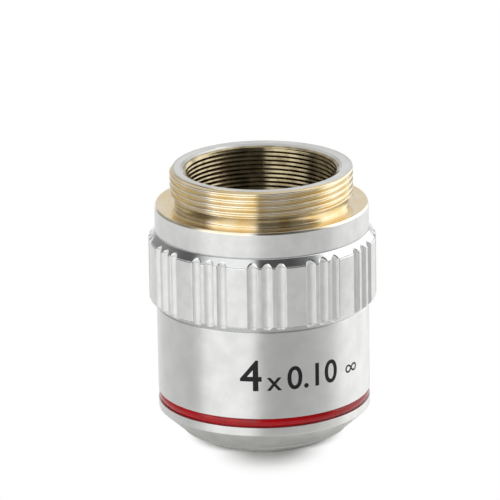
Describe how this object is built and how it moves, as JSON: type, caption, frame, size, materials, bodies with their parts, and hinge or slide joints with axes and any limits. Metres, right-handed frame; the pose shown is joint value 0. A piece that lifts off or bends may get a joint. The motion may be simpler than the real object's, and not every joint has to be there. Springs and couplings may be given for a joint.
{
  "type": "microscope objective",
  "caption": "Low-power microscope objective with a male mounting thread, a fluted grip ring, a coned nose and a stack of lenses inside.",
  "frame": {"origin": "middle of the nose's flat front face, which the objective stands on with its thread up", "axes": "+Z along the optical axis from the nose to the mounting thread; -Y is the side with the numerals, between the first and last flute group about 2 degrees towards +X; +X to the right of it"},
  "size_m": [0.0252, 0.0252, 0.0309],
  "materials": {
    "bare_brass": "satin",
    "satin_chrome": "satin",
    "red_enamel": "gloss",
    "blackened_brass": "matte",
    "black_aluminium": "matte",
    "coated_glass": "polished"
  },
  "bodies": {
    "root": {"mount_body": "bare_brass", "grip_ring": "satin_chrome", "outer_barrel": "satin_chrome", "colour_band": "red_enamel", "lens_tube": "blackened_brass", "parfocal_spacer": "bare_brass", "parfocal_shim": "bare_brass", "lock_ring": "blackened_brass", "front_cell": "blackened_brass", "front_retaining_ring": "blackened_brass", "front_lens": "coated_glass", "negative_lens": "coated_glass", "front_spacer": "black_aluminium", "aperture_stop": "black_aluminium", "middle_spacer": "black_aluminium", "doublet_flint": "coated_glass", "doublet_crown": "coated_glass", "rear_spacer": "black_aluminium", "rear_lens": "coated_glass", "rear_retaining_ring": "blackened_brass"}
  },
  "joints": []
}
